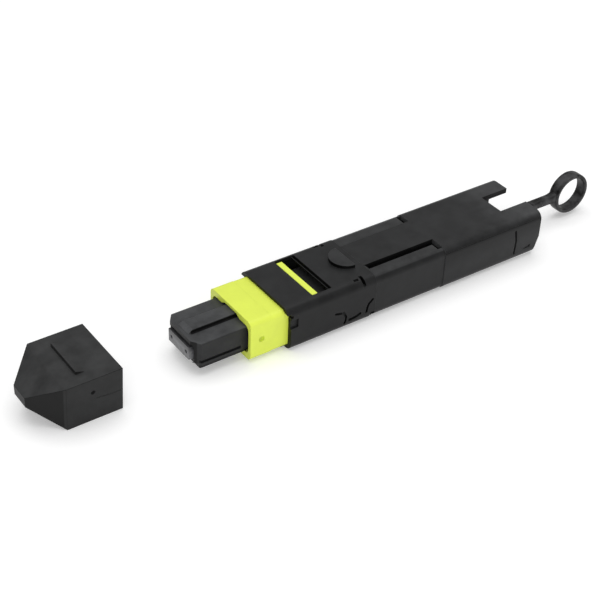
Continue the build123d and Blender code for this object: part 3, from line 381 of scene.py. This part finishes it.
SLEEVE_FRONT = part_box("coupling_sleeve")[1][0] / MM
DIMPLE_INSET = 2.2
DIMPLE_X = SLEEVE_FRONT - DIMPLE_INSET
DIMPLE_REACH = 0.45
LIME = moulded(
    "lime_plastic",
    colour=(0.79, 0.91, 0.105),
    rough=0.4,
    grain=0.16,
    depth=0.006,
    mottle=0.03,
    edge=0.12,
    edge_wear_and_shade=0.0,
    shine=0.35,
)
# Painted shade: the dimple in each side is painted a little darker.
paint_light_and_shade(
    LIME,
    0.8,
    x=(DIMPLE_X - DIMPLE_REACH, DIMPLE_X + DIMPLE_REACH),
    z=(-DIMPLE_REACH, DIMPLE_REACH),
    blend=0.12,
)
dress("coupling_sleeve", LIME)
for side in ("near", "far"):
    dress_spring(f"coupling_spring_{side}")


# Front cover: a black box moulding around the sleeve, with the window, its thin ridge, and the
# half-round thumb pad, whose top is painted a little lighter than the face around it: a painted sheen.

COVER_TOP = 4.45
PAD_EDGE = 0.1
PAD_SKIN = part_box("front_cover")[1][2] / MM - PAD_EDGE
COVER = moulded(
    "cover_plastic",
    colour=(0.0105, 0.0107, 0.011),
    rough=0.46,
    grain=0.15,
    depth=0.012,
    mottle=0.3,
    edge=0.15,
    edge_wear_and_shade=0.22,
    shine=0.2,
)
# Painted light and shade: the top face is painted lighter, the pad's top lighter still as a painted
# sheen, and the pad's wall and what faces forward are painted darker.
paint_light_and_shade(COVER, 1.55, z=(COVER_TOP - 0.2, None))
paint_light_and_shade(COVER, 1.75, z=(PAD_SKIN, None), blend=0.03)
paint_light_and_shade(COVER, 0.1, z=(COVER_TOP + 0.03, PAD_SKIN), blend=0.03)
paint_light_and_shade(COVER, 0.15, facing=("X", 0.5, 0.8))
dress("front_cover", COVER)


# Middle frame: the black moulding between cover and shell. It holds the fibre tray, the loop post and
# the slider's tunnel, and its two strips beside the lid's rail are painted lighter than its sides:
# painted light.

STRIP_FOOT = 4.0
FRAME = moulded(
    "frame_plastic",
    colour=(0.013, 0.0132, 0.0136),
    rough=0.42,
    grain=0.17,
    depth=0.01,
    mottle=0.3,
    edge=0.15,
    edge_wear_and_shade=0.2,
    shine=0.2,
)
# Painted light: all above the strips' foot is painted lighter than the sides.
paint_light_and_shade(FRAME, 2.5, z=(STRIP_FOOT, None))
dress("middle_frame", FRAME)


# Rear shell and lid: two black mouldings that close the fibre tray. They meet in a seam high on the
# sides, which shows as a fine dark line.


def seam_line(material, height, half_width, depth):
    """A V groove round the piece at one Object Z, in mm: the surface falls by depth towards the
    middle of the line, in proportion to the way there, and the colour darkens with it."""
    place = add_node(material, "ShaderNodeTexCoord", {})
    split = add_node(material, "ShaderNodeSeparateXYZ", {"Vector": place.outputs["Object"]})
    above = reckon(material, "SUBTRACT", split.outputs["Z"], height * MM)
    gap = reckon(material, "ABSOLUTE", above)
    share = fade(material, gap, half_width * MM, 0.0)
    normal = material.node_tree.nodes["Principled BSDF"].inputs["Normal"]
    before = normal.links[0].from_socket
    relief = {"Height": share, "Normal": before, "Strength": 1.0, "Distance": depth * MM}
    groove = add_node(material, "ShaderNodeBump", relief, invert=True)
    material.node_tree.links.new(groove.outputs["Normal"], normal)
    paint_over(material, [share], (0.004, 0.004, 0.004))


SEAM = 3.44
SHELL_REAR, SHELL_FRONT = (corner[0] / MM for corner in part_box("rear_shell"))
STEP_DEPTH = 0.5
PAINTED_LIGHT_LENGTH = 10.1
PAINTED_LIGHT_TOP_LENGTH = 5.1
SIDE_SHADE_HEIGHT = 1.4
SHELL = moulded(
    "shell_plastic",
    colour=(0.019, 0.0193, 0.0199),
    rough=0.45,
    grain=0.16,
    depth=0.012,
    mottle=0.3,
    edge=0.15,
    edge_wear_and_shade=0.2,
    shine=0.2,
)
seam_line(SHELL, SEAM, half_width=0.07, depth=0.04)
# Painted light and shade: the step at the front is painted bright, the rear end is painted lighter,
# its top most of all, and the sides are painted darker upwards.
paint_light_and_shade(SHELL, 3.0, x=(SHELL_FRONT - STEP_DEPTH, None), facing=("X", 0.3, 0.6))
paint_light_and_shade(SHELL, 1.35, x=(None, SHELL_REAR + PAINTED_LIGHT_LENGTH), blend=9.0)
paint_light_and_shade(SHELL, 2.2, x=(None, SHELL_REAR + PAINTED_LIGHT_TOP_LENGTH), blend=6.0, facing=("Z", 0.7, 0.95))
for side in (-1, 1):
    upwards, outwards = (SIDE_SHADE_HEIGHT, None), ("Y", 0.7 * side, 0.95 * side)
    paint_light_and_shade(SHELL, 0.36, z=upwards, blend=1.9, facing=outwards)
dress("rear_shell", SHELL)
dress("rear_lid", SHELL)


# Release slider: a flat black moulding that runs under the fibre tray and joins the ring's stem to
# the coupling sleeve.

SLIDER = moulded(
    "slider_plastic",
    colour=(0.02, 0.02, 0.021),
    rough=0.45,
    grain=0.12,
    depth=0.008,
)
dress("release_slider", SLIDER)


# Pull ring: one smooth black moulding. A band with rounded edges makes the ring, and the stem grows
# into it with a soft fillet. The stem's head sits in the slider's post.

RING_WIDTH = 2.3
RING_WALL = 0.82
RING_STEPS = 120
STEM_HALF_WIDTH = 0.55
STEM_HALF_HEIGHT = 0.5
STEM_THICKER = 0.28
STEM_THICK_LENGTH = 13.6
STEM_NECK = 1.0
STEM_STEPS = 60
FLARE_LENGTH = 2.0
FLARE_WIDTH = 0.15
FLARE_HEIGHT = 0.5
HEAD_HALF_WIDTH = 1.5
HEAD_LENGTH = 0.9
HEAD_EDGE = 0.08
HEAD_END_SCALE = 0.93
OUTLINE_POINTS = 28

ring_low, ring_high = (np.array(corner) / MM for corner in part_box("pull_ring"))
ring_radius = (ring_high[2] - ring_low[2]) / 2
ring_middle = (ring_high[2] + ring_low[2]) / 2
ring_x = ring_low[0] + ring_radius
# The skin is patchy, near black and grey by turns.
RING = moulded(
    "ring_plastic",
    colour=(0.0305, 0.0305, 0.0315),
    rough=0.4,
    grain=0.2,
    depth=0.008,
    mottle=0.967,
    patch=2.4,
    patch_fade=(0.38, 0.64),
    edge=0.03,
    edge_wear_and_shade=0.0,
    shine=0.2,
)


def rounded_outline(half_wide, half_high, squareness):
    """Points of a superellipse: the cosine and sine of the way round, each raised to 2 over the
    squareness with its sign kept, times the half width and half height."""
    angle = np.linspace(0, 2 * np.pi, OUTLINE_POINTS, endpoint=False)
    wide = half_wide * np.sign(np.cos(angle)) * np.abs(np.cos(angle)) ** (2 / squareness)
    high = half_high * np.sign(np.sin(angle)) * np.abs(np.sin(angle)) ** (2 / squareness)
    return wide, high


# The band is the outline swept round the ring's middle: its distance from there is the radius of
# the wall's middle less the outline's depth, times the cosine along X and the sine along Z.
depth, across = rounded_outline(RING_WALL / 2, RING_WIDTH / 2, squareness=4.5)
lap = np.linspace(0, 2 * np.pi, RING_STEPS, endpoint=False)[:, None]
reach = ring_radius - RING_WALL / 2 - depth
band_x = ring_x + reach * np.cos(lap)
band_z = ring_middle + reach * np.sin(lap)
band = grid_piece("ring_band", band_x, across, band_z, "release", RING, ring=True)

# The stem is an outline carried along X. It is thicker from the ring into the shell's bay, thins
# over a short neck before the port as 3 n squared less 2 n cubed, and widens into the ring as the
# square of the way through the flare.
stem_start = ring_x + ring_radius - RING_WALL / 2
stem_end = ring_high[0] - HEAD_LENGTH
along = np.linspace(stem_start, stem_end, STEM_STEPS)[:, None]
flare = np.clip(1 - (along - stem_start) / FLARE_LENGTH, 0, 1) ** 2
neck = np.clip((stem_start + STEM_THICK_LENGTH - along) / STEM_NECK, 0, 1)
swell = STEM_THICKER * neck * neck * (3 - 2 * neck)
wide, high = rounded_outline(1, 1, squareness=5)
stem_y = (STEM_HALF_WIDTH + swell + FLARE_WIDTH * flare) * wide
stem_z = ring_middle + (STEM_HALF_HEIGHT + swell + FLARE_HEIGHT * flare) * high
stem = grid_piece("ring_stem", along, stem_y, stem_z, "release", RING)

# The head is a flat block: four outlines along X, of which the first and last are a little smaller.
head_x = np.array([stem_end, stem_end + HEAD_EDGE, ring_high[0] - HEAD_EDGE, ring_high[0]])
head_scale = np.array([HEAD_END_SCALE, 1.0, 1.0, HEAD_END_SCALE])[:, None]
wide, high = rounded_outline(HEAD_HALF_WIDTH, STEM_HALF_HEIGHT, squareness=6)
head_y = head_scale * wide
head_z = ring_middle + head_scale * high
head = grid_piece("ring_head", head_x[:, None], head_y, head_z, "release", RING)
for piece in (band, stem, head):
    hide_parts("pull_ring")


# Dust cap: a soft black moulding with blunt rounded corners. A weld line from the mould runs back
# from the small hole in its side to the mouth.


def weld_line(material, start_x, corner, end, half_width):
    """A fine dark line on the +Y side, in mm. From the start it is level up to the corner, at the
    corner's X and Z, and then its Z goes in proportion to X up to the end's. A small noise makes
    it wander."""
    wander_size, wander = 0.45, 0.3
    end_fade = 0.1
    side_start, side_full = 3.0, 3.1
    place = add_node(material, "ShaderNodeTexCoord", {}).outputs["Object"]
    split = add_node(material, "ShaderNodeSeparateXYZ", {"Vector": place}).outputs
    from_corner = (corner[0] * MM, end[0] * MM, corner[1] * MM, end[1] * MM)
    line_height = fade(material, split["X"], *from_corner)
    waves = {"Vector": place, "Scale": 1 / (wander_size * MM), "Detail": 2}
    noise = add_node(material, "ShaderNodeTexNoise", waves).outputs["Fac"]
    swing = {"Value": noise, "To Min": -wander * MM, "To Max": wander * MM}
    shift = add_node(material, "ShaderNodeMapRange", swing, clamp=False).outputs["Result"]
    above = reckon(material, "SUBTRACT", split["Z"], line_height)
    gap = reckon(material, "ABSOLUTE", reckon(material, "ADD", above, shift))
    shares = [
        fade(material, gap, half_width * MM, 0.4 * half_width * MM),
        fade(material, split["X"], (start_x - end_fade) * MM, (start_x + end_fade) * MM),
        fade(material, split["X"], (end[0] + end_fade) * MM, (end[0] - end_fade) * MM),
        fade(material, split["Y"], side_start * MM, side_full * MM),
    ]
    paint_over(material, shares, (0.003, 0.003, 0.003))


CAP_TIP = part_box("dust_cap")[1][0] / MM
CAP_SLOPE_LENGTH = 4.5
CAP_TIP_DEPTH = 0.2
WELD_START_X = 13.2
WELD_CORNER = (14.59, -0.09)
WELD_END = (17.78, 0.19)
CAP = moulded(
    "cap_plastic",
    colour=(0.0165, 0.0168, 0.017),
    rough=0.5,
    grain=0.2,
    depth=0.015,
    mottle=0.32,
    edge=0.2,
    # The edges turn near black: painted shade.
    edge_wear_and_shade=0.95,
    edge_wear_and_shade_colour=(0.002, 0.002, 0.002),
    shine=0.2,
)
weld_line(CAP, WELD_START_X, WELD_CORNER, WELD_END, half_width=0.16)
# Painted light and shade: the top and its slope are painted lighter, and the slopes at the sides, the
# tip and the edges darker.
paint_light_and_shade(CAP, 1.85, facing=("Z", 0.3, 0.6))
for side in (-1, 1):
    paint_light_and_shade(CAP, 0.15, x=(CAP_TIP - CAP_SLOPE_LENGTH, None), facing=("Y", 0.3 * side, 0.6 * side))
paint_light_and_shade(CAP, 0.4, x=(CAP_TIP - CAP_TIP_DEPTH, None), blend=0.1, facing=("X", 0.8, 0.9))
dress("dust_cap", CAP)


# Table, light and camera: a pale table, a wide soft lamp overhead, and a lower one on the near
# side that fills the sides. The camera stands where the photograph was taken from.

TABLE_HALF = 3.0
TABLE_GAP = 0.02 * MM
TABLE_GLOW = 0.22
sides = (-TABLE_HALF, TABLE_HALF)
table_mesh = bpy.data.meshes.new("table")
table_mesh.from_pydata([(x, y, 0) for y in sides for x in sides], [], [(0, 1, 3, 2)])
table = bpy.data.objects.new("table", table_mesh)
bpy.context.scene.collection.objects.link(table)
table.location = (0, 0, cad_box[0][2] - TABLE_GAP)
paper = bpy.data.materials.new("table_paper")
paper.use_nodes = True
sheet = paper.node_tree.nodes["Principled BSDF"]
sheet.inputs["Base Color"].default_value = (0.92, 0.92, 0.92, 1)
sheet.inputs["Roughness"].default_value = 0.9
sheet.inputs["Specular IOR Level"].default_value = 0.1
sheet.inputs["Emission Color"].default_value = (1, 1, 1, 1)
# Seen directly, in a gloss or through glass, the table glows a little, so that it ends up white.
seen = add_node(paper, "ShaderNodeLightPath", {}).outputs
direct = reckon(paper, "ADD", seen["Is Camera Ray"], seen["Is Glossy Ray"])
direct_or_through = reckon(paper, "ADD", direct, seen["Is Transmission Ray"])
glow = reckon(paper, "MULTIPLY", direct_or_through, TABLE_GLOW)
paper.node_tree.links.new(glow, sheet.inputs["Emission Strength"])
table_mesh.materials.append(paper)

LIT_MIDDLE = (-0.03, 0, 0)


def soft_lamp(name, place, size, power):
    """A square lamp at a place in metres, turned to face the middle of the part."""
    data = bpy.data.lights.new(name, "AREA")
    data.size = size
    data.energy = power
    lamp = bpy.data.objects.new(name, data)
    bpy.context.scene.collection.objects.link(lamp)
    lamp.location = place
    beam = Vector(LIT_MIDDLE) - Vector(place)
    lamp.rotation_euler = beam.to_track_quat("-Z", "Y").to_euler()


soft_lamp("overhead", (-0.05, -0.05, 0.6), size=0.6, power=1.85)
soft_lamp("near_side", (0.3, 0.56, 0.25), size=0.4, power=1.25)

world = bpy.data.worlds.new("room")
world.use_nodes = True
bpy.context.scene.world = world
world.node_tree.nodes["Background"].inputs["Color"].default_value = (1, 1, 1, 1)
world.node_tree.nodes["Background"].inputs["Strength"].default_value = 0.5

CAMERA_PLACE = (88.436 * MM, 154.618 * MM, 140.716 * MM)
AZIMUTH = math.radians(143.931)
ELEVATION = math.radians(36.463)
ROLL = math.radians(2.263)
FOCAL_PIXELS = 1382.313
PHOTO_SIZE = 600
back = Vector(
    (
        math.sin(AZIMUTH) * math.cos(ELEVATION),
        -math.cos(AZIMUTH) * math.cos(ELEVATION),
        math.sin(ELEVATION),
    )
)
level_right = (-back).cross(Vector((0, 0, 1))).normalized()
level_up = level_right.cross(-back)
right = math.cos(ROLL) * level_right + math.sin(ROLL) * level_up
upward = -math.sin(ROLL) * level_right + math.cos(ROLL) * level_up
lens = bpy.data.cameras.new("photo_camera")
lens.sensor_width = 36
lens.lens = FOCAL_PIXELS * lens.sensor_width / PHOTO_SIZE
lens.clip_start = 0.001
lens.clip_end = 10
camera = bpy.data.objects.new("photo_camera", lens)
bpy.context.scene.collection.objects.link(camera)
turned = Matrix((right, upward, back)).transposed().to_4x4()
camera.matrix_world = Matrix.Translation(CAMERA_PLACE) @ turned
bpy.context.scene.camera = camera
bpy.context.scene.view_settings.view_transform = "Standard"
